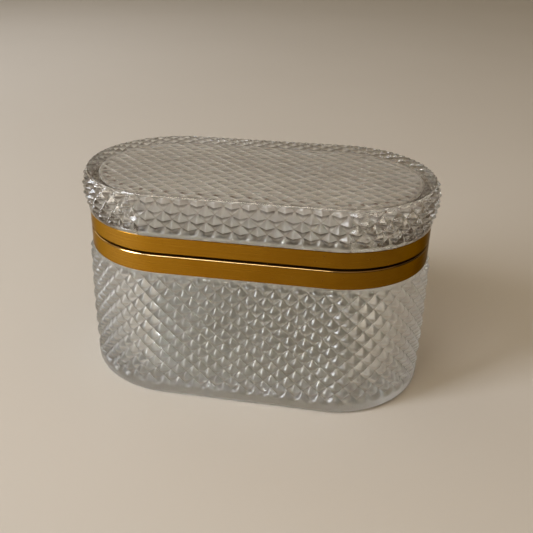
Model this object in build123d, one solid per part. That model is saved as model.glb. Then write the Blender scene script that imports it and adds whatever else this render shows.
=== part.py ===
from build123d import *
import math
import os

# Hinged jewelry casket: clear pressed-glass body and lid, each with a plain
# brass band cemented on its neck, joined by a stop hinge at the back.
# Millimetres. +Z up, +X along the length, the front is -Y.
# The origin is the middle of the flat underside.

# ---- driving dimensions -------------------------------------------------
# plan outline of the bands' outer face (offset 0): straight long sides
# and half-round ends
HALF_LENGTH = 90.0
HALF_WIDTH = 47.9

# heights
BASE_BAND_Z0, BASE_BAND_Z1 = 72.7, 82.5
LID_BAND_Z0, LID_BAND_Z1 = 83.75, 92.4
TOP_Z = 113.8

# glass body, offsets from the outline
BASE_OUT = 2.5               # over the diamond tips
BASE_IN = -7.5
BASE_FLOOR = 8.0
BASE_FOOT_R = 4.0
BASE_INNER_R = 5.0
BASE_SHOULDER = 0.3
BASE_TAPER_Z = 67.0          # the tips come in from here to the band

# glass lid
LID_BULGE = 3.1
LID_BULGE_Z = 103.5
LID_RIM = 0.1
LID_SHOULDER = 0.3
LID_IN = -6.0
LID_TOP_T = 9.0
LID_INNER_R = 4.0

# bands, cement, lip
BAND_T = 1.2
FLANGE_T = 1.2
CEMENT_R = 0.7               # round the neck
CEMENT_Z = 0.6               # under the flange
LIP_T = 0.7
LIP_H = 4.2

# hinge
HINGE_W = 40.0
KNUCKLES = 5
KNUCKLE_GAP = 0.35
KNUCKLE_R = 2.4
PIN_R = 1.0
PIN_CLEAR_LID = 0.05
PIN_CLEAR_BASE = 0.02
PIN_HEAD_R = 1.75
PIN_HEAD_T = 0.9
AXIS_BACK = 2.8              # axis behind the bands' back face
LEAF_T = 1.2
LEAF_BACKOFF = 2.25          # leaf edge above or below the axis, beside the other leaf's knuckles
OPEN_DEG = 105.0
STOP_GAP = 0.12
RIVET_X = (-14.0, 14.0)
RIVET_R = 0.8
RIVET_HEAD_R = 1.6
RIVET_HEAD_T = 0.8

# ---- derived ------------------------------------------------------------
NECK = -BAND_T - CEMENT_R
STRAIGHT = HALF_LENGTH - HALF_WIDTH          # half length of the straight side

AXIS_Y = HALF_WIDTH + AXIS_BACK
AXIS_Z = (BASE_BAND_Z1 + LID_BAND_Z0) / 2.0


def ends():
    """(centre x, start angle) of the half-round ends, right then left."""
    return [(STRAIGHT, -90.0), (-STRAIGHT, 90.0)]


def plan(d):
    """Face of the plan outline, offset outwards by d."""
    hw = HALF_WIDTH + d
    return make_face([
        Line((-STRAIGHT, -hw), (STRAIGHT, -hw)),
        ThreePointArc((STRAIGHT, -hw), (STRAIGHT + hw, 0), (STRAIGHT, hw)),
        Line((STRAIGHT, hw), (-STRAIGHT, hw)),
        ThreePointArc((-STRAIGHT, hw), (-STRAIGHT - hw, 0), (-STRAIGHT, -hw)),
    ])


def slab(d, z0, z1):
    return extrude(Pos(0, 0, z0) * plan(d), z1 - z0)


def tube(d_out, d_in, z0, z1):
    return slab(d_out, z0, z1) - slab(d_in, z0 - 1.0, z1 + 1.0)


def run_round(section):
    """Carry a section round the outline. section() draws it as (distance
    from the outline's long axis, height)."""
    face = section(HALF_WIDTH)
    body = None
    for sign in (-1.0, 1.0):
        pl = Plane(origin=(-STRAIGHT, 0, 0), x_dir=(0, sign, 0), z_dir=(sign, 0, 0))
        piece = extrude(pl * face, 2 * STRAIGHT, dir=(1, 0, 0))
        body = piece if body is None else body + piece
    for cx, start in ends():
        t = math.radians(start)
        pl = Plane(origin=(cx, 0, 0), x_dir=(math.cos(t), math.sin(t), 0),
                   z_dir=(math.sin(t), -math.cos(t), 0))
        body = body + revolve(pl * face, axis=Axis((cx, 0, 0), (0, 0, 1)), revolution_arc=180.0)
    return body


def poly(shift, pts):
    return make_face(Polyline([(x + shift, z) for x, z in pts], close=True))


def at(face, x, z, tol=1e-3):
    return [v for v in face.vertices() if abs(v.X - x) < tol and abs(v.Y - z) < tol]


CORE = -14.0     # the solid floor and the lid's top plate are slabs inside this offset


# ---- body glass -----------------------------------------------------------
def base_section(shift):
    neck_top = BASE_BAND_Z1 - FLANGE_T - CEMENT_Z
    f = poly(shift, [
        (CORE, 0.0), (BASE_OUT, 0.0), (BASE_OUT, BASE_TAPER_Z),
        (BASE_SHOULDER, BASE_BAND_Z0), (NECK, BASE_BAND_Z0), (NECK, neck_top),
        (BASE_IN, neck_top), (BASE_IN, BASE_FLOOR), (CORE, BASE_FLOOR)])
    f = fillet(at(f, BASE_OUT + shift, 0.0), BASE_FOOT_R)
    f = fillet(at(f, BASE_IN + shift, BASE_FLOOR), BASE_INNER_R)
    return f


base_glass = run_round(base_section) + slab(CORE, 0.0, BASE_FLOOR)


# ---- lid glass --------------------------------------------------------------
def lid_section(shift):
    neck_bot = LID_BAND_Z0 + FLANGE_T + CEMENT_Z
    ceil = TOP_Z - LID_TOP_T
    pts = [(LID_SHOULDER, LID_BAND_Z1), (NECK, LID_BAND_Z1), (NECK, neck_bot),
           (LID_IN, neck_bot), (LID_IN, ceil), (CORE, ceil), (CORE, TOP_Z), (LID_RIM, TOP_Z)]
    pts = [(x + shift, z) for x, z in pts]
    edges = [Line(pts[i], pts[i + 1]) for i in range(len(pts) - 1)]
    edges.append(ThreePointArc(pts[-1], (LID_BULGE + shift, LID_BULGE_Z), pts[0]))
    f = make_face(edges)
    return fillet(at(f, LID_IN + shift, ceil), LID_INNER_R)


lid_glass = run_round(lid_section) + slab(CORE, TOP_Z - LID_TOP_T, TOP_Z)


# ---- brass bands -----------------------------------------------------------
def base_band_section(shift):
    f = poly(shift, [
        (0.0, BASE_BAND_Z0), (0.0, BASE_BAND_Z1), (BASE_IN, BASE_BAND_Z1),
        (BASE_IN, BASE_BAND_Z1 - FLANGE_T), (-BAND_T, BASE_BAND_Z1 - FLANGE_T), (-BAND_T, BASE_BAND_Z0)])
    f = fillet(at(f, shift, BASE_BAND_Z1), 0.9)
    return fillet(at(f, shift, BASE_BAND_Z0), 0.25)


def lid_band_section(shift):
    f = poly(shift, [
        (0.0, LID_BAND_Z0), (0.0, LID_BAND_Z1), (-BAND_T, LID_BAND_Z1),
        (-BAND_T, LID_BAND_Z0 + FLANGE_T), (LID_IN, LID_BAND_Z0 + FLANGE_T), (LID_IN, LID_BAND_Z0)])
    f = fillet(at(f, shift, LID_BAND_Z0), 0.45)
    return fillet(at(f, shift, LID_BAND_Z1), 0.25)


base_collar = run_round(base_band_section)
lid_collar = run_round(lid_band_section)


# ---- cement beds -------------------------------------------------------------
def base_cement_section(shift):
    z1 = BASE_BAND_Z1 - FLANGE_T
    return poly(shift, [(-BAND_T, BASE_BAND_Z0), (-BAND_T, z1), (BASE_IN, z1), (BASE_IN, z1 - CEMENT_Z),
                        (NECK, z1 - CEMENT_Z), (NECK, BASE_BAND_Z0)])


def lid_cement_section(shift):
    z0 = LID_BAND_Z0 + FLANGE_T
    return poly(shift, [(-BAND_T, z0), (-BAND_T, LID_BAND_Z1), (NECK, LID_BAND_Z1), (NECK, z0 + CEMENT_Z),
                        (LID_IN, z0 + CEMENT_Z), (LID_IN, z0)])


base_cement = run_round(base_cement_section)
lid_cement = run_round(lid_cement_section)

# ---- locating lip, standing on the lower band's flange ---------------------------
base_lip = tube(BASE_IN + LIP_T, BASE_IN, BASE_BAND_Z1, BASE_BAND_Z1 + LIP_H)

# ---- hinge -----------------------------------------------------------------------
SEG = HINGE_W / KNUCKLES


def span(i):
    """x range of knuckle i, with half the running gap taken off each inner end."""
    x0 = -HINGE_W / 2 + i * SEG
    x1 = x0 + SEG
    if i > 0:
        x0 += KNUCKLE_GAP / 2
    if i < KNUCKLES - 1:
        x1 -= KNUCKLE_GAP / 2
    return x0, x1


def along_x(x0, x1, sketch_pts):
    """Prism along X of a polygon given as (y, z) measured from the axis."""
    pl = Plane(origin=(x0, AXIS_Y, AXIS_Z), x_dir=(0, 1, 0), z_dir=(1, 0, 0))
    return extrude(pl * make_face(Polyline(sketch_pts, close=True)), x1 - x0, dir=(1, 0, 0))


def rod(r, x0, x1, y=0.0, z=0.0):
    pl = Plane(origin=(x0, AXIS_Y + y, AXIS_Z + z), x_dir=(0, 1, 0), z_dir=(1, 0, 0))
    return extrude(pl * Circle(r), x1 - x0, dir=(1, 0, 0))


def leaf(upper):
    """Leaf plate with its knuckles. The lid leaf (upper) has the odd knuckles."""
    s = 1.0 if upper else -1.0
    band_edge = (LID_BAND_Z1 - 0.7 - AXIS_Z) if upper else (BASE_BAND_Z0 + 0.7 - AXIS_Z)
    y0, y1 = -AXIS_BACK, -AXIS_BACK + LEAF_T
    plate = along_x(-HINGE_W / 2, HINGE_W / 2,
                    [(y0, s * LEAF_BACKOFF), (y1, s * LEAF_BACKOFF), (y1, band_edge), (y0, band_edge)])
    corners = [e for e in plate.edges().filter_by(Axis.Y)
               if abs(e.center().Z - (AXIS_Z + band_edge)) < 0.01]
    plate = fillet(corners, 1.2)
    bore = PIN_R + (PIN_CLEAR_LID if upper else PIN_CLEAR_BASE)
    out = plate
    for i in range(KNUCKLES):
        if (i % 2 == 1) != upper:
            continue
        x0, x1 = span(i)
        web = along_x(x0, x1, [(y0 + 0.35, s * 0.1), (-0.4, s * 0.1), (-0.4, s * 2.2),
                               (y1, s * (LEAF_BACKOFF + 0.6)), (y0 + 0.35, s * (LEAF_BACKOFF + 0.6))])
        knuckle = rod(KNUCKLE_R, x0, x1) + web
        if upper:
            # stop tail: at the open limit its flat face lies along the base leaf
            t = math.radians(OPEN_DEG)
            yf = y1 + STOP_GAP

            def back(y, z):
                return (y * math.cos(t) - z * math.sin(t), z * math.cos(t) + y * math.sin(t))

            tail = along_x(x0 + 0.8, x1 - 0.8, [back(yf, -4.9), back(yf + 1.2, -4.9), back(yf + 1.45, -4.6),
                                                back(yf + 1.45, -1.2), back(yf + 0.6, -1.2), back(yf, -1.75)])
            knuckle = knuckle + tail
        out = out + (knuckle - rod(bore, x0 - 1, x1 + 1))
    return out


hinge_base_leaf = leaf(False)
hinge_lid_leaf = leaf(True)


def dome_mid(r, t):
    """Point half way round a low dome of base radius r and height t, as
    (height above the base, radius)."""
    rr = (r * r + t * t) / (2 * t)
    half = math.asin(r / rr) / 2
    return t - rr + rr * math.cos(half), rr * math.sin(half)


def pin_profile():
    """Half section of the pin: (distance along the axis, radius)."""
    h = HINGE_W / 2
    k = PIN_HEAD_T
    mh, mr = dome_mid(PIN_HEAD_R, PIN_HEAD_T)
    edges = [
        Line((-h - k, 0), (h + k, 0)),
        ThreePointArc((h + k, 0), (h + mh, mr), (h, PIN_HEAD_R)),
        Line((h, PIN_HEAD_R), (h, PIN_R)),
        Line((h, PIN_R), (-h, PIN_R)),
        Line((-h, PIN_R), (-h, PIN_HEAD_R)),
        ThreePointArc((-h, PIN_HEAD_R), (-h - mh, mr), (-h - k, 0)),
    ]
    return make_face(edges)


hinge_pin = revolve(Plane(origin=(0, AXIS_Y, AXIS_Z), x_dir=(1, 0, 0), z_dir=(0, 0, 1)) * pin_profile(),
                    axis=Axis((0, AXIS_Y, AXIS_Z), (1, 0, 0)))


# rivets through leaf and band, with a low domed head behind
def rivet(x, z):
    y_in = HALF_WIDTH - BAND_T
    y_face = HALF_WIDTH + LEAF_T
    y_top = y_face + RIVET_HEAD_T
    mh, mr = dome_mid(RIVET_HEAD_R, RIVET_HEAD_T)
    half = make_face([
        Line((0, y_in), (RIVET_R, y_in)),
        Line((RIVET_R, y_in), (RIVET_R, y_face)),
        Line((RIVET_R, y_face), (RIVET_HEAD_R, y_face)),
        ThreePointArc((RIVET_HEAD_R, y_face), (mr, y_face + mh), (0, y_top)),
        Line((0, y_top), (0, y_in)),
    ])
    pl = Plane(origin=(x, 0, z), x_dir=(1, 0, 0), z_dir=(0, 0, 1))
    return revolve(pl * half, axis=Axis((x, 0, z), (0, 1, 0)))


def rivet_hole(x, z):
    pl = Plane(origin=(x, HALF_WIDTH - BAND_T - 0.001, z), x_dir=(1, 0, 0), z_dir=(0, 1, 0))
    return extrude(pl * Circle(RIVET_R), BAND_T + LEAF_T + 0.002)


BASE_RIVET_Z = (BASE_BAND_Z0 + 0.7 + AXIS_Z - LEAF_BACKOFF) / 2.0
LID_RIVET_Z = (LID_BAND_Z1 - 0.7 + AXIS_Z + LEAF_BACKOFF) / 2.0

base_rivets = [rivet(x, BASE_RIVET_Z) for x in RIVET_X]
lid_rivets = [rivet(x, LID_RIVET_Z) for x in RIVET_X]
for x in RIVET_X:
    base_collar = base_collar - rivet_hole(x, BASE_RIVET_Z)
    hinge_base_leaf = hinge_base_leaf - rivet_hole(x, BASE_RIVET_Z)
    lid_collar = lid_collar - rivet_hole(x, LID_RIVET_Z)
    hinge_lid_leaf = hinge_lid_leaf - rivet_hole(x, LID_RIVET_Z)

# ---- write -------------------------------------------------------------------------
os.makedirs("parts", exist_ok=True)


def solid_of(shape):
    s = list(shape.solids())
    return s[0] if len(s) == 1 else Compound(children=s)


NODES = {
    "base_glass": base_glass,
    "base_collar": base_collar,
    "base_cement": base_cement,
    "base_lip": base_lip,
    "lid_glass": lid_glass,
    "lid_collar": lid_collar,
    "lid_cement": lid_cement,
    "hinge_base_leaf": hinge_base_leaf,
    "hinge_lid_leaf": hinge_lid_leaf,
    "hinge_pin": hinge_pin,
    "hinge_base_rivets": Compound(children=[r.solids()[0] for r in base_rivets]),
    "hinge_lid_rivets": Compound(children=[r.solids()[0] for r in lid_rivets]),
}

for name, shape in NODES.items():
    part = shape if isinstance(shape, Compound) and name.endswith("rivets") else solid_of(shape)
    export_step(part, os.path.join("parts", name + ".step"))
    print(name, "solids", len(part.solids()), "volume %.1f" % part.volume)
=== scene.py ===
import math

import bpy
import numpy as np
from mathutils import Matrix, Vector
from mathutils.geometry import delaunay_2d_cdt


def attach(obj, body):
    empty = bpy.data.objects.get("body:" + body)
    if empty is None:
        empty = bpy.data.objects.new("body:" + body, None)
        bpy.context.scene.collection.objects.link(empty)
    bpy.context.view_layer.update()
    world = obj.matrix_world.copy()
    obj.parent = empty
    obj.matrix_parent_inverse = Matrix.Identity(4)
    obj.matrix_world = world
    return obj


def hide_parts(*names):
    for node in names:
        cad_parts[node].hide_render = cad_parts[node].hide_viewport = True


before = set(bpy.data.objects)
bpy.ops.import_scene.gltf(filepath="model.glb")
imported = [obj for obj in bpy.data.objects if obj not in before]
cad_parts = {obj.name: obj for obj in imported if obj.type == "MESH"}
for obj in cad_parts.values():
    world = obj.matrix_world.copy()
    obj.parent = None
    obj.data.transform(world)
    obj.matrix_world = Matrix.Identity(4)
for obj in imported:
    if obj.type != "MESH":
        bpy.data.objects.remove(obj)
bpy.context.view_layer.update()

# Hinged jewelry casket of clear pressed glass with two gilt bands.
# Lengths in this file are millimetres until a mesh is made. +Z up, the front is -Y.
MM = 0.001

# ---- plan outline: straight long sides and half-round ends, offset 0 on the bands' face
STRAIGHT, ROUND = 42.1, 47.9
LOOP = 4 * STRAIGHT + 2 * math.pi * ROUND
COLS = 57
PITCH = LOOP / COLS
HALF = PITCH / 2


def around(u):
    """Points and outward directions of the outline. u runs from the middle of the
    front towards +X."""
    u = np.mod(np.asarray(u, float), LOOP)
    arc = math.pi * ROUND
    b = [0.0, STRAIGHT, STRAIGHT + arc, 3 * STRAIGHT + arc, 3 * STRAIGHT + 2 * arc]
    p = np.zeros(u.shape + (2,))
    n = np.zeros(u.shape + (2,))
    m = u < b[1]
    p[m] = np.stack([u[m], np.full(m.sum(), -ROUND)], -1)
    n[m] = (0, -1)
    m = (u >= b[1]) & (u < b[2])
    t = -math.pi / 2 + (u[m] - b[1]) / ROUND
    n[m] = np.stack([np.cos(t), np.sin(t)], -1)
    p[m] = n[m] * ROUND + (STRAIGHT, 0)
    m = (u >= b[2]) & (u < b[3])
    p[m] = np.stack([STRAIGHT - (u[m] - b[2]), np.full(m.sum(), ROUND)], -1)
    n[m] = (0, 1)
    m = (u >= b[3]) & (u < b[4])
    t = math.pi / 2 + (u[m] - b[3]) / ROUND
    n[m] = np.stack([np.cos(t), np.sin(t)], -1)
    p[m] = n[m] * ROUND + (-STRAIGHT, 0)
    m = u >= b[4]
    p[m] = np.stack([-STRAIGHT + (u[m] - b[4]), np.full(m.sum(), -ROUND)], -1)
    n[m] = (0, -1)
    return p, n


def ring(u, offset, z):
    p, n = around(u)
    xy = p + n * np.broadcast_to(np.asarray(offset, float), u.shape)[:, None]
    return np.concatenate([xy, np.full((len(u), 1), float(z))], 1)


def step(x, a, b):
    t = np.clip((np.asarray(x, float) - a) / (b - a), 0, 1)
    return t * t * (3 - 2 * t)


def soften(x, e):
    """0..1 like |x|, with the crease at 0 rounded over about e."""
    return (np.sqrt(x * x + e * e) - e) / (math.sqrt(1 + e * e) - e)


def diamond(s, t, es, et):
    """Height 0..1 of a field of pyramids standing on their points. s and t are counted
    in half diagonals, tips lie where s + t is odd. es rounds the upright arrises, et the
    level ones; the valleys stay sharp. Also gives how far each point is above (+) or below
    its diamond's level arris, 0..1, and how far along it."""
    a, b = (s + t) / 2, (s - t) / 2
    a = a - np.floor(a) - 0.5
    b = b - np.floor(b) - 0.5
    return 1 - soften(a + b, es) - soften(a - b, et), a - b, np.abs(a + b)


class Shell:
    """Closed mesh from rings carried round the outline."""

    def __init__(self, u):
        self.u, self.n = u, len(u)
        self.verts, self.faces = [], []
        self.groove, self.under, self.marks, self.flats = [], [], [], []

    def count(self):
        return sum(len(v) for v in self.verts)

    def add(self, xyz, groove=0.0, under=0.0):
        """Points, with how deep in the cut pattern each one lies, and how much painted
        shade each one takes (the strip under a level arris, and other painted dark marks)."""
        start = self.count()
        self.verts.append(np.asarray(xyz, float))
        self.groove.append(np.broadcast_to(np.asarray(groove, float), (len(xyz),)))
        self.under.append(np.broadcast_to(np.asarray(under, float), (len(xyz),)))
        return start + np.arange(len(xyz))

    def finish_as(self, slot):
        """Faces added from here on take this material slot."""
        self.marks.append((len(self.faces), slot))

    def bridge(self, a, b, pick=None):
        """Quads between rings a and b, or triangles cut along pick's diagonals."""
        a2, b2 = np.roll(a, -1), np.roll(b, -1)
        if pick is None:
            self.faces += np.stack([a, a2, b2, b], 1).tolist()
            return
        k = pick
        self.faces += np.stack([a[k], a2[k], b2[k]], 1).tolist()
        self.faces += np.stack([a[k], b2[k], b[k]], 1).tolist()
        k = ~pick
        self.faces += np.stack([a[k], a2[k], b[k]], 1).tolist()
        self.faces += np.stack([a2[k], b2[k], b[k]], 1).tolist()

    def mesh(self, name, sharp):
        me = bpy.data.meshes.new(name)
        co = np.concatenate(self.verts) * MM
        me.from_pydata(co.tolist(), [], self.faces)
        slots = np.zeros(len(self.faces), dtype=np.int32)
        for start, slot in self.marks:
            slots[start:] = slot
        me.polygons.foreach_set("material_index", slots)
        smooth = np.ones(len(self.faces), dtype=bool)
        for start, end in self.flats:
            smooth[start:end] = False
        for key, part in (("groove", self.groove), ("under", self.under)):
            depth = me.attributes.new(key, "FLOAT", "POINT")
            depth.data.foreach_set("value", np.concatenate(part).astype(np.float32))
        me.set_sharp_from_angle(angle=math.radians(sharp))
        me.polygons.foreach_set("use_smooth", smooth)
        me.update()
        ob = bpy.data.objects.new(name, me)
        bpy.context.scene.collection.objects.link(ob)
        return ob


def wall(shell, u, levels, offset):
    """Rings of a patterned wall at the levels, from below to above. The cells are cut
    along whichever diagonal follows the pattern."""
    rings, prev = [], None
    for z in levels:
        f, low, under = offset(u, z)
        idx = shell.add(ring(u, f, z), low, under)
        if prev is not None:
            pz, pf, pidx = prev
            mid = offset((u + np.append(u[1:], LOOP)) / 2, (z + pz) / 2)[0]
            d1 = np.abs((pf + np.roll(f, -1)) / 2 - mid)
            d2 = np.abs((np.roll(pf, -1) + f) / 2 - mid)
            shell.bridge(pidx, idx, d1 <= d2)
        prev = (z, f, idx)
        rings.append(idx)
    return rings


def profile(shell, u, pts, first=None):
    """Plain rings through (offset, z) pairs."""
    prev = first
    out = []
    for d, z in pts:
        idx = shell.add(ring(u, d, z))
        if prev is not None:
            shell.bridge(prev, idx)
        prev = idx
        out.append(idx)
    return out


def fillet_pts(cx, cz, r, a0, a1, n):
    return [(cx + r * math.cos(math.radians(a0 + (a1 - a0) * i / n)),
             cz + r * math.sin(math.radians(a0 + (a1 - a0) * i / n))) for i in range(n + 1)]


# ---- body glass ---------------------------------------------------------------
BODY_ROW0, BODY_HALF = 68.9, 4.114      # height of the top row of points; half a diamond
BODY_DEPTH = 2.9
BODY_STRIP, BODY_FOOT = 0.3, 2.05
BODY_CUTS = (0.0, 0.09, 0.22, 0.5, 0.78, 0.91)      # steps within half a diamond, the same both ways

NECK = -1.86


def cuts(first, count, size, parts):
    """Stations of a row of half diamonds, with the same steps in each."""
    return np.array([first + size * (q + c) for q in range(count) for c in parts])


body_u = cuts(0.0, COLS * 2, HALF, BODY_CUTS)


def body_tip(z):
    return np.interp(z, [0, 6, 14, 22, 31, 45, 66, 73], [2.05, 2.05, 2.2, 2.45, 2.5, 2.3, 1.75, 1.7])


def under_arris(t, along, wide, fade):
    """1 in a thin strip just under the level arrises, fading out towards their ends: the mask of a painted shade."""
    return step(t, -wide, -wide / 2) * (1 - step(t, -0.04, 0.0)) * (1 - step(along, fade, fade + 0.3))


def body_offset(u, z):
    h, t, along = diamond(u / HALF, (z - BODY_ROW0) / BODY_HALF, 0.20, 0.28)
    h = 1 - (1 - h) ** 1.2
    d = body_tip(z) - BODY_DEPTH * (1 - h)
    top = step(z, 70.2, 71.5)
    low = 1 - step(z, 6.0, 8.1)
    d = d * (1 - top) + BODY_STRIP * top
    return d * (1 - low) + BODY_FOOT * low, (1 - h) * (1 - top) * (1 - low), under_arris(t, along, 0.30, 0.60) * (1 - top) * (1 - low)


def make_body():
    s = Shell(body_u)
    under = profile(s, body_u, [(-9.0, 0.0), (-4.0, 0.0)] + fillet_pts(BODY_FOOT - 3.8, 3.8, 3.8, -90, 0, 8))
    s.faces.append(under[0][::-1].tolist())
    levels = [4.6, 5.3] + [z for z in cuts(BODY_ROW0 - 16 * BODY_HALF, 17, BODY_HALF, BODY_CUTS) if 5.6 < z < 72.0] + [72.3]
    rings = wall(s, body_u, levels, body_offset)
    s.bridge(under[-1], rings[0])
    neck = profile(s, body_u, [(0.24, 72.6), (0.05, 72.73), (NECK, 72.73), (NECK, 80.74), (-7.0, 80.74), (-7.5, 80.5)],
                   first=rings[-1])
    s.finish_as(1)
    inner = profile(s, body_u, [(-7.5, 60.0), (-7.5, 30.0)] + fillet_pts(-12.5, 13.0, 5.0, 0, -90, 8)
                    + [(-16.0, 8.0)], first=neck[-1])
    s.faces.append(inner[-1].tolist())
    return s.mesh("body_glass", 38)


# ---- lid glass ------------------------------------------------------------------
LID_ROW0, LID_HALF = 110.8, 4.235
LID_DEPTH = 3.0
LID_CUTS = (0.0, 0.05, 0.13, 0.25, 0.5, 0.75, 0.87, 0.95)
LID_TOP = 113.8
CEIL = 104.8
lid_u = cuts(0.0, COLS * 2, HALF, LID_CUTS)


def lid_tip(z):
    return np.interp(z, [92.4, 94.7, 96.3, 98.5, 100.8, 102.6, 104.4, 107.0, 109.8, 111.5, 113.0, 113.8],
                     [0.3, 0.85, 1.45, 2.0, 2.5, 2.9, 3.08, 2.85, 2.4, 1.85, 1.1, 0.6])


def plain_rim(u):
    p, _ = around(u)
    return np.clip(0.60 - 0.60 * p[:, 1] / 48 - 0.20 * p[:, 0] / 90, 0, 1)


def lid_offset(u, z):
    h, t, along = diamond(u / HALF, (z - LID_ROW0) / LID_HALF, 0.06, 0.09)
    d = lid_tip(z) - LID_DEPTH * (1 - h)
    # the top was ground flat a little out of true: a smooth rim is left in front and on
    # the left, and the points are cut through at the back
    plain = plain_rim(u) * step(z, 112.0, 113.5)
    d = d * (1 - plain) + np.interp(z, [110.8, 112.0, 113.0, 113.8], [1.3, 1.0, 0.65, 0.15]) * plain
    low = 1 - step(z, 94.1, 95.6)
    # a dark line is drawn low on the wall, just above the band, strongest in line with the points
    dark_band_low = step(z, 94.5, 94.9) * (1 - step(z, 95.0, 95.6)) * (0.6 + 0.4 * np.cos(np.pi * u / HALF))
    return (d * (1 - low) + (0.3 + 0.06 * (z - 92.4)) * low, (1 - h) * (1 - low) * (1 - plain),
            np.maximum(under_arris(t, along, 0.42, 0.72) * (1 - low) * (1 - plain), 0.8 * dark_band_low))


# relief on the underside of the lid's top plate: low pillows between crossing grooves
TOP_PITCH, TOP_LONG = PITCH, 0.94      # width of a diamond, and its front-to-back size over that
BORDER = -7.5
TOP_CUTS = (-1.0, -0.84, -0.42, 0.0, 0.42, 0.84)


def inside(x, y, d):
    """How far inside the outline at offset d the points are."""
    q = np.maximum(np.abs(x) - STRAIGHT, 0)
    return ROUND + d - np.hypot(q, y)


def ceiling_z(x, y):
    side = TOP_PITCH / math.sqrt(2)
    y_short = y / TOP_LONG
    a, b = (x + y_short) / math.sqrt(2) / side, (x - y_short) / math.sqrt(2) / side
    a = np.abs(a - np.floor(a + 0.5)) * 2
    b = np.abs(b - np.floor(b + 0.5)) * 2
    r = np.maximum(a, b)
    edge = step(inside(x, y, BORDER), 0.2, 1.0)
    return CEIL + edge * (TOP_GROOVE * step(r, 0.84, 1.0) - TOP_DEPTH * (1 - r))


TOP_GROOVE, TOP_DEPTH = 0.28, 0.34


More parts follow.
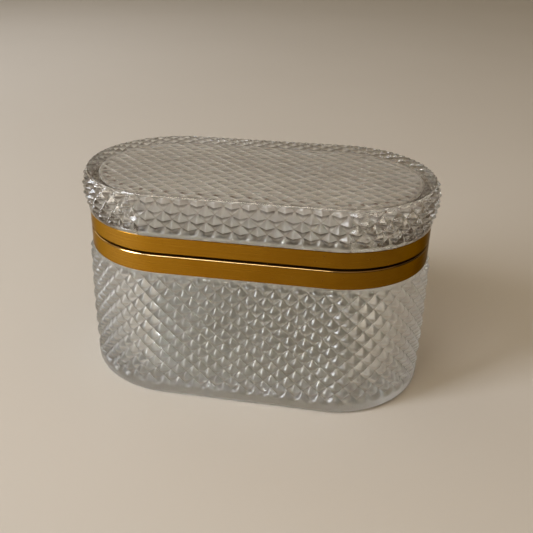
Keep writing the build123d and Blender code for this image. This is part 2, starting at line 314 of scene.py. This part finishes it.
def make_lid():
    s = Shell(lid_u)
    s.finish_as(1)
    rim_u = lid_u
    # ceiling relief, then the plain border ring
    half_side = TOP_PITCH / math.sqrt(2) / 2
    line = np.array([half_side * (2 * q + c) for q in range(-14, 15) for c in TOP_CUTS])
    ga, gb = np.meshgrid(line, line, indexing="ij")
    gx, gy = (ga + gb) / math.sqrt(2), (ga - gb) / math.sqrt(2) * TOP_LONG
    keep = inside(gx, gy, BORDER) > 0.5
    cell = keep[:-1, :-1] & keep[1:, :-1] & keep[:-1, 1:] & keep[1:, 1:]
    used = np.zeros_like(keep)
    for sx in (0, 1):
        for sy in (0, 1):
            used[sx:sx + cell.shape[0], sy:sy + cell.shape[1]] |= cell
    number = np.full(keep.shape, -1)
    number[used] = np.arange(used.sum())
    z = ceiling_z(gx, gy)
    over = np.abs(gx) - STRAIGHT
    turn = np.arctan2(np.maximum(over, 0), -gy)
    lap = np.sign(gx) * np.where(over > 0, STRAIGHT + ROUND * turn, np.abs(gx)) / PITCH + 0.28
    # painted shade: a row of dark spots near the ceiling's border, one per column, on the front half and round the ends
    spot = np.minimum(1, 1.3 * np.exp(-((lap % 1 - 0.5) / 0.15) ** 2
                                      - ((inside(gx, gy, BORDER) - 1.0 - 4.2 * np.cos(turn) ** 2) / 1.1) ** 2))
    spot = spot * (gy < 5)
    first = s.add(np.stack([gx[used], gy[used], z[used]], 1), 0.0, spot[used])[0]
    i, j = np.nonzero(cell)
    start = len(s.faces)
    a, b, c, d = (number[i, j] + first, number[i + 1, j] + first, number[i + 1, j + 1] + first, number[i, j + 1] + first)
    zm = ceiling_z((gx[i, j] + gx[i + 1, j + 1]) / 2, (gy[i, j] + gy[i + 1, j + 1]) / 2)
    d1 = np.abs((z[i, j] + z[i + 1, j + 1]) / 2 - zm)
    d2 = np.abs((z[i + 1, j] + z[i, j + 1]) / 2 - zm)
    # the groove faces take the painted-highlight slots 5 and 6
    one_way = np.isin(i % len(TOP_CUTS), (0, len(TOP_CUTS) - 1))
    other_way = np.isin(j % len(TOP_CUTS), (0, len(TOP_CUTS) - 1)) & ~one_way
    # faces under the painted spots take slot 7, an opaque dark film
    painted_spot_faces = (spot[i, j] + spot[i + 1, j] + spot[i, j + 1] + spot[i + 1, j + 1]) / 4 > 0.42
    for part, slot in ((painted_spot_faces, 7), (one_way & ~painted_spot_faces, 5), (other_way & ~painted_spot_faces, 6), (~one_way & ~other_way & ~painted_spot_faces, 1)):
        s.finish_as(slot)
        k, n = (d1 <= d2) & part, (d1 > d2) & part
        for t in ((a[k], b[k], c[k]), (a[k], c[k], d[k]), (a[n], b[n], d[n]), (b[n], c[n], d[n])):
            s.faces += np.stack(t, 1).tolist()
    s.flats.append((start, len(s.faces)))
    # the strip between the rows' stepped edge and the border
    border = s.add(ring(rim_u, BORDER, CEIL))
    pts = np.concatenate(s.verts)
    edges = {}
    for t in np.concatenate([np.stack(q, 1) for q in ((a, b), (b, c), (c, d), (d, a))]).tolist():
        key = (min(t), max(t))
        edges[key] = edges.get(key, 0) + 1
    rim_edges = [e for e, n in edges.items() if n == 1]
    loop = sorted({v for e in rim_edges for v in e})
    local = {v: q for q, v in enumerate(loop)}
    flat = [Vector(pts[v][:2]) for v in loop] + [Vector(pts[v][:2]) for v in border]
    n0, n1 = len(loop), len(border)
    con = [(local[p], local[q]) for p, q in rim_edges] + [(n0 + q, n0 + (q + 1) % n1) for q in range(n1)]
    vv, _, ff, ov, _, _ = delaunay_2d_cdt(flat, con, [], 0, 1e-6)
    back = [o[0] for o in ov]
    to_shell = [loop[q] if q < n0 else int(border[q - n0]) for q in range(n0 + n1)]
    cells = set(zip(i.tolist(), j.tolist()))
    for f in ff:
        cx = sum(vv[q][0] for q in f) / len(f)
        cy = sum(vv[q][1] for q in f) / len(f)
        if inside(np.array(cx), np.array(cy), BORDER) < -1e-9:
            continue
        ca, cb = (cx + cy / TOP_LONG) / math.sqrt(2), (cx - cy / TOP_LONG) / math.sqrt(2)
        if (int(np.searchsorted(line, ca)) - 1, int(np.searchsorted(line, cb)) - 1) in cells:
            continue
        q = [to_shell[back[w]] for w in f]
        p0, p1, p2 = (pts[w] for w in q[:3])
        if np.cross(p1[:2] - p0[:2], p2[:2] - p0[:2]) > 0:
            q = q[::-1]
        s.faces.append(q)
    # painted shade: dark dots on the fillet, one per column
    dots = np.exp(-((rim_u % PITCH / PITCH - 0.5) / 0.11) ** 2)
    inner = [border]
    for q, (dd, zz) in enumerate(fillet_pts(-7.2, CEIL - 1.2, 1.2, 90, 0, 6) + [(-6.0, 101.5), (-6.0, 94.0), (-6.0, 85.85)]):
        if q == 7:
            s.finish_as(3)
        idx = s.add(ring(rim_u, dd, zz), 0.0, dots if 1 <= q <= 6 else 0.0)
        s.bridge(inner[-1], idx)
        inner.append(idx)
    s.finish_as(4)
    inner = profile(s, rim_u, [(-5.6, 85.62), (NECK, 85.62), (NECK, 92.43), (0.05, 92.43)], first=inner[-1])
    s.finish_as(0)
    inner = profile(s, rim_u, [(0.24, 92.55)], first=inner[-1])
    levels = [92.75, 93.4, 94.0] + [zz for zz in cuts(LID_ROW0 - 4 * LID_HALF, 5, LID_HALF, LID_CUTS) if 94.3 < zz < 113.4]
    rings = wall(s, rim_u, levels, lid_offset)
    s.bridge(inner[-1], rings[-len(levels)])
    edge = lid_offset(rim_u, levels[-1])[0]
    prev = rings[-1]
    smooth = plain_rim(rim_u)
    s.finish_as(2)
    # painted shade: dark lays the top's dark tint on thin rings at the foot of the rim and along the edge of the top
    # face
    for even, cut, zz, dark in ((0.42, 0.0, 113.02, 0.6), (0.40, 0.03, 113.10, 0.0), (0.02, 0.36, 113.66, 0.0),
                                (-0.06, 0.46, 113.75, 0.3), (-0.16, 0.56, LID_TOP, 1.0), (-0.62, 0.90, LID_TOP, 1.0),
                                (-0.74, 1.00, LID_TOP, 0.0)):
        idx = s.add(ring(rim_u, smooth * even + (1 - smooth) * (edge - cut), zz), 0.0, dark)
        s.bridge(prev, idx)
        prev = idx
    for dd in (-3.2, -8.0):
        idx = s.add(ring(rim_u, dd, LID_TOP))
        s.bridge(prev, idx)
        prev = idx
    s.faces.append(prev.tolist())
    return s.mesh("lid_glass_cut", 38)


# ---- bands ------------------------------------------------------------------------
band_u = np.arange(480) * (LOOP / 480)


def make_band(name, pts, rubbed_painted_highlight_from, sharp=50):
    s = Shell(band_u)
    rings = [s.add(ring(band_u, d, z)) for d, z in pts]
    for q in range(len(pts)):
        a, b = pts[q], pts[(q + 1) % len(pts)]
        # the rounded top edge of the lower band takes the pale slot 2: rubbed gilt, and also a painted highlight
        s.finish_as(1 if max(a[0], b[0]) < -0.85 or min(a[0], b[0]) < -1.15 else 2 if min(a[1], b[1]) > rubbed_painted_highlight_from else 0)
        s.bridge(rings[q], rings[(q + 1) % len(pts)])
    return s.mesh(name, sharp)


def spread(a, b, n):
    return [(a[0] + (b[0] - a[0]) * i / n, a[1] + (b[1] - a[1]) * i / n) for i in range(1, n)]


def lower_band():
    z0, z1 = 72.7, 82.5
    pts = [(-0.25, z0)] + fillet_pts(-0.25, z0 + 0.25, 0.25, -90, 0, 4)[1:]
    pts += spread((0, z0 + 0.25), (0, z1 - 0.9), 6)
    pts += fillet_pts(-0.9, z1 - 0.9, 0.9, 0, 90, 10)
    pts += [(-2.0, z1), (-7.2, z1), (-7.42, z1 - 0.08), (-7.5, z1 - 0.3), (-7.5, z1 - 1.2), (-1.2, z1 - 1.2), (-1.2, z0)]
    return make_band("lower_band", pts, z1 - 0.75)


def upper_band():
    z0, z1 = 83.75, 92.4
    pts = [(-5.9, z0), (-2.0, z0)] + fillet_pts(-0.45, z0 + 0.45, 0.45, -90, 0, 6)
    pts += spread((0, z0 + 0.45), (0, z1 - 0.3), 6)
    pts += fillet_pts(-0.3, z1 - 0.3, 0.3, 0, 90, 5)
    pts += [(-1.2, z1), (-1.2, z0 + 1.2), (-6.0, z0 + 1.2), (-6.0, z0 + 0.1)]
    return make_band("upper_band", pts, z1)


# ---- materials --------------------------------------------------------------------
def material(name):
    m = bpy.data.materials.new(name)
    m.use_nodes = True
    nt = m.node_tree
    return m, nt, nt.nodes["Principled BSDF"]


def node(nt, kind, **sets):
    n = nt.nodes.new(kind)
    for k, v in sets.items():
        setattr(n, k, v)
    return n


def noise(nt, coords, scale, detail=3.0, rough=0.55, stretch=(1, 1, 1), distortion=0.0):
    mp = node(nt, "ShaderNodeMapping")
    mp.inputs["Scale"].default_value = stretch
    nt.links.new(coords, mp.inputs["Vector"])
    n = node(nt, "ShaderNodeTexNoise")
    n.inputs["Scale"].default_value = scale
    n.inputs["Detail"].default_value = detail
    n.inputs["Roughness"].default_value = rough
    n.inputs["Distortion"].default_value = distortion
    nt.links.new(mp.outputs["Vector"], n.inputs["Vector"])
    return n.outputs["Fac"]


def ramp(nt, fac, stops):
    n = node(nt, "ShaderNodeValToRGB")
    e = n.color_ramp.elements
    while len(e) < len(stops):
        e.new(0.5)
    for q, (pos, col) in enumerate(stops):
        e[q].position = pos
        e[q].color = (*col, 1) if len(col) == 3 else col
    nt.links.new(fac, n.inputs["Fac"])
    return n.outputs["Color"]


def span(nt, fac, lo, hi, a=0.3, b=0.7):
    n = node(nt, "ShaderNodeMapRange")
    n.inputs["From Min"].default_value = a
    n.inputs["From Max"].default_value = b
    n.inputs["To Min"].default_value = lo
    n.inputs["To Max"].default_value = hi
    nt.links.new(fac, n.inputs["Value"])
    return n.outputs["Result"]


def mix_colour(nt, fac, a, b, how="MIX"):
    n = node(nt, "ShaderNodeMix", data_type="RGBA", blend_type=how)
    if isinstance(fac, float):
        n.inputs["Factor"].default_value = fac
    else:
        nt.links.new(fac, n.inputs["Factor"])
    nt.links.new(a, n.inputs["A"])
    nt.links.new(b, n.inputs["B"])
    return n.outputs["Result"]


def maths(nt, how, a, b):
    n = node(nt, "ShaderNodeMath", operation=how)
    for q, v in enumerate((a, b)):
        if isinstance(v, (int, float)):
            n.inputs[q].default_value = v
        else:
            nt.links.new(v, n.inputs[q])
    return n.outputs["Value"]


def bump(nt, height, strength, distance):
    n = node(nt, "ShaderNodeBump")
    n.inputs["Strength"].default_value = strength
    n.inputs["Distance"].default_value = distance
    nt.links.new(height, n.inputs["Height"])
    return n.outputs["Normal"]


def coords_of(nt):
    return node(nt, "ShaderNodeTexCoord").outputs["Object"]


def glass(name, tint_a, tint_b, rough_lo, rough_hi, wave, painted_shade_tints=None, gloss=0.0, inner=None, ends=(), fine=0.0, clear=1.0, coat_ior=1.5, cloudy=45.0, sharp=0.2, shade=None):
    m, nt, p = material(name)
    c = coords_of(nt)
    p.inputs["Transmission Weight"].default_value = clear
    p.inputs["IOR"].default_value = 1.5
    cloud = noise(nt, c, cloudy, 3.0)
    tint = ramp(nt, cloud, [(0.5 - sharp, tint_a), (0.5 + sharp, tint_b)])
    if shade:
        # painted shade: towards the -X end the tint turns darker and cooler
        start, full, light, dark = shade
        axes = node(nt, "ShaderNodeSeparateXYZ")
        nt.links.new(c, axes.inputs["Vector"])
        tint = mix_colour(nt, span(nt, axes.outputs["X"], 0.0, 1.0, start * MM, full * MM), tint, ramp(nt, cloud, [(0.3, dark), (0.7, light)]))
    haze = noise(nt, c, 160.0, 4.0, 0.6)
    rough = span(nt, haze, rough_lo, rough_hi, 0.35, 0.7)
    if painted_shade_tints:
        start, full, light, dark, low_light, low_dark = painted_shade_tints
        patchy = span(nt, noise(nt, c, 330.0, 2.0), 0.72, 1.0)
        cut = node(nt, "ShaderNodeAttribute", attribute_name="groove").outputs["Fac"]
        # painted shade in the valleys: the deepest parts of the cut pattern are tinted darker
        groove_painted_shade = maths(nt, "MULTIPLY", span(nt, cut, 0.0, 1.0, start, full), patchy)
        tint = mix_colour(nt, groove_painted_shade, tint, ramp(nt, cloud, [(0.3, dark), (0.7, light)]))
        # painted shade: the 'under' attribute lays a darker tint on the strips under the level arrises and on the other
        # painted dark marks
        low = node(nt, "ShaderNodeAttribute", attribute_name="under").outputs["Fac"]
        tint = mix_colour(nt, maths(nt, "MULTIPLY", low, patchy), tint, ramp(nt, cloud, [(0.3, low_dark), (0.7, low_light)]))
    nt.links.new(tint, p.inputs["Base Color"])
    for level, start, full in ends:
        axes = node(nt, "ShaderNodeSeparateXYZ")
        nt.links.new(c, axes.inputs["Vector"])
        far = span(nt, axes.outputs["X"], 0.0, 1.0, start * MM, full * MM)
        mixer = node(nt, "ShaderNodeMix", data_type="FLOAT")
        nt.links.new(far, mixer.inputs[0])
        nt.links.new(rough, mixer.inputs[2])
        mixer.inputs[3].default_value = level
        rough = mixer.outputs[0]
    if inner is not None:
        back = node(nt, "ShaderNodeNewGeometry").outputs["Backfacing"]
        mixer = node(nt, "ShaderNodeMix", data_type="FLOAT")
        nt.links.new(back, mixer.inputs[0])
        nt.links.new(rough, mixer.inputs[2])
        mixer.inputs[3].default_value = inner
        rough = mixer.outputs[0]
    nt.links.new(rough, p.inputs["Roughness"])
    p.inputs["Coat Weight"].default_value = gloss
    p.inputs["Coat Roughness"].default_value = 0.04
    p.inputs["Coat IOR"].default_value = coat_ior
    ripple = noise(nt, c, 260.0, 2.0, 0.5)
    if fine:
        ripple = maths(nt, "ADD", ripple, maths(nt, "MULTIPLY", noise(nt, c, 950.0, 2.0, 0.5), fine))
    nt.links.new(bump(nt, ripple, wave, 0.0006), p.inputs["Normal"])
    return m


def brass(name, light, dark, rough_lo, rough_hi, spots, aniso, painted_end_light=0.0, glance=1.0):
    m, nt, p = material(name)
    c = coords_of(nt)
    p.inputs["Specular Tint"].default_value = (glance, glance * 0.9, glance * 0.7, 1) if glance < 1 else (1, 1, 1, 1)
    p.inputs["Metallic"].default_value = 1.0
    p.inputs["Anisotropic"].default_value = aniso
    p.inputs["Anisotropic Rotation"].default_value = 0.25
    streak = noise(nt, c, 1.0, 3.0, 0.6, (26, 26, 2400))
    fine = noise(nt, c, 1.0, 2.0, 0.6, (70, 70, 6500))
    cloud = noise(nt, c, 38.0, 4.0, 0.6)
    base = ramp(nt, maths(nt, "ADD", maths(nt, "MULTIPLY", streak, 0.45), maths(nt, "MULTIPLY", cloud, 0.55)),
                [(0.32, dark), (0.62, light)])
    # painted light along the band: the colour darkens towards the +X end as painted shade, and turns paler towards the
    # -X end as a painted highlight
    if painted_end_light:
        axes = node(nt, "ShaderNodeSeparateXYZ")
        nt.links.new(c, axes.inputs["Vector"])
        drift = maths(nt, "ADD", axes.outputs["X"], maths(nt, "MULTIPLY", cloud, 0.03))
        base = mix_colour(nt, span(nt, drift, 0.0, painted_end_light, -0.03, 0.085), base, ramp(nt, cloud, [(0.3, (0.13, 0.058, 0.002)), (0.7, (0.19, 0.09, 0.004))]))
        base = mix_colour(nt, span(nt, drift, 0.0, 0.9, -0.028, -0.07), base, ramp(nt, cloud, [(0.3, (0.56, 0.30, 0.05)), (0.7, (0.65, 0.37, 0.075))]))
    speck = noise(nt, c, 420.0, 3.0, 0.65)
    stain = span(nt, speck, 0.0, spots, 0.66, 0.76)
    spot_col = ramp(nt, cloud, [(0.3, (0.10, 0.045, 0.012)), (0.7, (0.20, 0.10, 0.03))])
    nt.links.new(mix_colour(nt, stain, base, spot_col), p.inputs["Base Color"])
    r = maths(nt, "ADD", span(nt, streak, rough_lo, rough_hi, 0.3, 0.7), maths(nt, "MULTIPLY", stain, 0.25))
    nt.links.new(r, p.inputs["Roughness"])
    h = maths(nt, "ADD", maths(nt, "MULTIPLY", fine, 0.6), maths(nt, "MULTIPLY", cloud, 0.8))
    nt.links.new(bump(nt, h, 0.25, 0.00004), p.inputs["Normal"])
    return m


def chalk(name):
    m, nt, p = material(name)
    c = coords_of(nt)
    grain = noise(nt, c, 900.0, 5.0, 0.65)
    cloud = noise(nt, c, 460.0, 3.0, 0.6)
    nt.links.new(ramp(nt, cloud, [(0.40, (0.11, 0.072, 0.05)), (0.48, (0.50, 0.42, 0.35)), (0.58, (0.86, 0.81, 0.75))]),
                 p.inputs["Base Color"])
    nt.links.new(span(nt, grain, 0.75, 0.95), p.inputs["Roughness"])
    nt.links.new(bump(nt, grain, 0.4, 0.0002), p.inputs["Normal"])
    return m


def paper(name):
    m, nt, p = material(name)
    c = coords_of(nt)
    tooth = noise(nt, c, 500.0, 4.0, 0.6)
    cloud = noise(nt, c, 3.0, 2.0)
    nt.links.new(ramp(nt, cloud, [(0.25, (0.650, 0.610, 0.55)), (0.75, (0.670, 0.630, 0.57))]), p.inputs["Base Color"])
    nt.links.new(span(nt, tooth, 0.8, 0.95), p.inputs["Roughness"])
    p.inputs["Specular IOR Level"].default_value = 0.2
    nt.links.new(bump(nt, tooth, 0.15, 0.0002), p.inputs["Normal"])
    return m


body_mat = glass("pressed_glass_body", (0.955, 0.985, 0.975), (0.975, 0.995, 0.99), 0.28, 0.31, 0.2,
                 (0.80, 0.92, (0.66, 0.60, 0.53), (0.54, 0.48, 0.41), (0.76, 0.71, 0.66), (0.63, 0.58, 0.52)), 0.62, 0.12, ((0.36, 50, 80),), 0.45, coat_ior=1.62, shade=(-46, -82, (0.79, 0.83, 0.85), (0.72, 0.765, 0.79)))
body_in = glass("pressed_glass_body_inside", (0.96, 0.985, 0.98), (0.98, 0.995, 0.99), 0.03, 0.07, 0.3)
lid_mat = glass("pressed_glass_lid", (0.97, 0.985, 0.975), (0.985, 0.995, 0.99), 0.28, 0.30, 0.06,
                (0.84, 0.96, (0.62, 0.56, 0.50), (0.50, 0.44, 0.38), (0.06, 0.042, 0.03), (0.035, 0.024, 0.017)), 0.40, 0.28, ((0.08, -50, -66), (0.08, 50, 66)))
lid_in = glass("pressed_glass_lid_inside", (0.82, 0.775, 0.70), (0.845, 0.80, 0.73), 0.38, 0.42, 0.1,
               (0.84, 0.96, (0.62, 0.56, 0.50), (0.50, 0.44, 0.38), (0.10, 0.06, 0.035), (0.06, 0.035, 0.02)), clear=0.66)
lid_wall = glass("smooth_glass_lid_wall", (0.97, 0.98, 0.965), (0.985, 0.99, 0.98), 0.02, 0.06, 0.1,
                 (0.84, 0.96, (0.62, 0.56, 0.50), (0.50, 0.44, 0.38), (0.10, 0.06, 0.035), (0.06, 0.035, 0.02)))
lid_neck = glass("ground_glass_neck", (0.14, 0.10, 0.075), (0.93, 0.90, 0.85), 0.45, 0.6, 0.9, clear=0.0, cloudy=480.0, sharp=0.09)
# painted highlight: the ceiling's groove faces are whitened and made half opaque to stand in for glints along them;
# grooves running one way get the brighter copy, those running the other way the dimmer one
lid_groove, lid_groove_b = (glass(name, a, b, 0.38, 0.42, 0.1,
                                  (0.84, 0.96, (0.62, 0.56, 0.50), (0.50, 0.44, 0.38), (0.10, 0.06, 0.035), (0.06, 0.035, 0.02)), clear=c)
                            for name, a, b, c in (("groove_painted_glint", (0.985, 0.955, 0.90), (0.995, 0.97, 0.92), 0.15),
                                                  ("groove_painted_dim_glint", (0.93, 0.89, 0.82), (0.95, 0.915, 0.85), 0.38)))
# opaque dark film for the painted spots
painted_spot_film = glass("painted_dark_spots", (0.17, 0.11, 0.075), (0.25, 0.175, 0.125), 0.45, 0.6, 0.3, clear=0.0)
lid_top = glass("polished_glass_top", (0.98, 0.99, 0.985), (0.99, 0.995, 0.99), 0.0, 0.03, 0.02,
                (0.84, 0.96, (0.62, 0.56, 0.50), (0.50, 0.44, 0.38), (0.10, 0.065, 0.042), (0.07, 0.045, 0.03)))
gilt = brass("gilt_brass", (0.50, 0.245, 0.020), (0.41, 0.18, 0.009), 0.20, 0.29, 0.5, 0.5, 0.82, 0.55)
# pale rubbed gilt on the lower band's top edge, also a painted highlight
rubbed_painted_highlight_gilt = brass("rubbed_gilt_edge_painted_highlight", (0.90, 0.68, 0.36), (0.82, 0.58, 0.26), 0.10, 0.16, 0.3, 0.0, 0.75)
tarnish = brass("tarnished_brass", (0.30, 0.17, 0.055), (0.19, 0.10, 0.03), 0.42, 0.55, 0.8, 0.0)
hinge_mat = brass("hinge_brass", (0.52, 0.30, 0.07), (0.38, 0.20, 0.035), 0.30, 0.45, 0.75, 0.0)
cement = chalk("bedding_cement")
sheet = paper("pale_paper")

body = make_body()
lid = make_lid()
low_band = lower_band()
high_band = upper_band()
for ob, mats, body_name, old, slot in (
        (body, (body_mat, body_in), "base", "base_glass", "clear_glass"),
        (lid, (lid_mat, lid_in, lid_top, lid_wall, lid_neck, lid_groove, lid_groove_b, painted_spot_film), "lid", "lid_glass", "clear_glass"),
        (low_band, (gilt, tarnish, rubbed_painted_highlight_gilt), "base", "base_collar", "gilt_brass"),
        (high_band, (gilt, tarnish), "lid", "lid_collar", "gilt_brass")):
    for mat in mats:
        ob.data.materials.append(mat)
    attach(ob, body_name)
    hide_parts(old)

for name, mat in (("base_lip", tarnish), ("base_cement", cement), ("lid_cement", cement),
                  ("hinge_base_leaf", hinge_mat), ("hinge_lid_leaf", hinge_mat), ("hinge_pin", hinge_mat),
                  ("hinge_base_rivets", hinge_mat), ("hinge_lid_rivets", hinge_mat)):
    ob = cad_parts[name]
    ob.data.materials.clear()
    ob.data.materials.append(mat)

# ---- floor running up into a backdrop ----------------------------------------------
def sweep():
    pts = [(-4.5, 0.0), (-1.5, 0.0), (1.8, 0.0)]
    pts += [(1.8 + 0.7 * math.sin(math.radians(a)), 0.7 - 0.7 * math.cos(math.radians(a))) for a in range(6, 91, 6)]
    pts += [(2.5, 3.2)]
    verts, faces = [], []
    for x in (-4.5, 4.5):
        verts += [(x, y, z - 0.0002) for y, z in pts]
    n = len(pts)
    for q in range(n - 1):
        faces.append((q, n + q, n + q + 1, q + 1))
    me = bpy.data.meshes.new("floor")
    me.from_pydata(verts, [], faces)
    me.shade_smooth()
    me.materials.append(sheet)
    ob = bpy.data.objects.new("floor", me)
    bpy.context.scene.collection.objects.link(ob)


sweep()


# ---- light ---------------------------------------------------------------------------
def soft_light(name, where, to, size, watts, colour, spread):
    li = bpy.data.lights.new(name, "AREA")
    li.shape = "RECTANGLE"
    li.size, li.size_y = size
    li.energy = watts
    li.color = colour
    li.spread = math.radians(spread)
    ob = bpy.data.objects.new(name, li)
    ob.location = where
    ob.rotation_euler = (Vector(where) - Vector(to)).to_track_quat("Z", "Y").to_euler()
    bpy.context.scene.collection.objects.link(ob)


soft_light("window", (-1.14, -0.83, 0.75), (0.0, 0.0, 0.05), (0.45, 1.1), 18.5, (0.90, 0.93, 1.0), 180.0)
soft_light("side_window", (-0.85, 0.75, 0.75), (-0.55, 1.0, 0.0), (0.9, 0.9), 2.8, (0.91, 0.93, 1.0), 180.0)
soft_light("skylight", (-0.30, -0.85, 1.05), (-0.30, 0.0, 0.08), (0.7, 0.3), 3.8, (1.0, 0.92, 0.80), 180.0)
soft_light("room_fill", (0.7, -0.5, 1.1), (0.15, 0.1, 0.0), (1.6, 1.6), 1.8, (1.0, 0.60, 0.28), 180.0)

world = bpy.data.worlds.new("room")
world.use_nodes = True
bg = world.node_tree.nodes["Background"]
tree = world.node_tree
way = tree.nodes.new("ShaderNodeVectorMath")
way.operation = "DOT_PRODUCT"
way.inputs[1].default_value = (-0.38, 0.10, 0.92)
tree.links.new(tree.nodes.new("ShaderNodeTexCoord").outputs["Generated"], way.inputs[0])
glow = ramp(tree, way.outputs["Value"], [(0.0, (0.035, 0.025, 0.016)), (0.30, (0.085, 0.068, 0.045)), (1.0, (0.47, 0.39, 0.265))])
tree.links.new(glow, bg.inputs["Color"])
bg.inputs["Strength"].default_value = 1.0
bpy.context.scene.world = world

# ---- camera ---------------------------------------------------------------------------
cam_data = bpy.data.cameras.new("camera")
cam = bpy.data.objects.new("camera", cam_data)
bpy.context.scene.collection.objects.link(cam)
right = Vector((0.98057017, 0.19616863, 0.0))
up = Vector((-0.09017948, 0.4507719, 0.88807227))
back = Vector((0.17421192, -0.87081718, 0.45970386))
place = Matrix((right, up, back)).transposed().to_4x4()
place.translation = Vector((0.053984, -0.345024, 0.236915))
cam.matrix_world = place
cam_data.sensor_fit = "HORIZONTAL"
cam_data.sensor_width = 36.0
cam_data.lens = 36.0 * 710.0 / 533.0
cam_data.shift_x = 0.07
cam_data.clip_start, cam_data.clip_end = 0.01, 20.0
bpy.context.scene.camera = cam

# ---- picture settings -------------------------------------------------------------------
scene = bpy.context.scene
scene.view_settings.view_transform = "Standard"
scene.view_settings.look = "None"
scene.cycles.use_denoising = True
scene.cycles.max_bounces = 28
scene.cycles.transmission_bounces = 24
scene.cycles.glossy_bounces = 10
scene.cycles.diffuse_bounces = 4
scene.cycles.blur_glossy = 0.3
scene.cycles.sample_clamp_indirect = 40.0
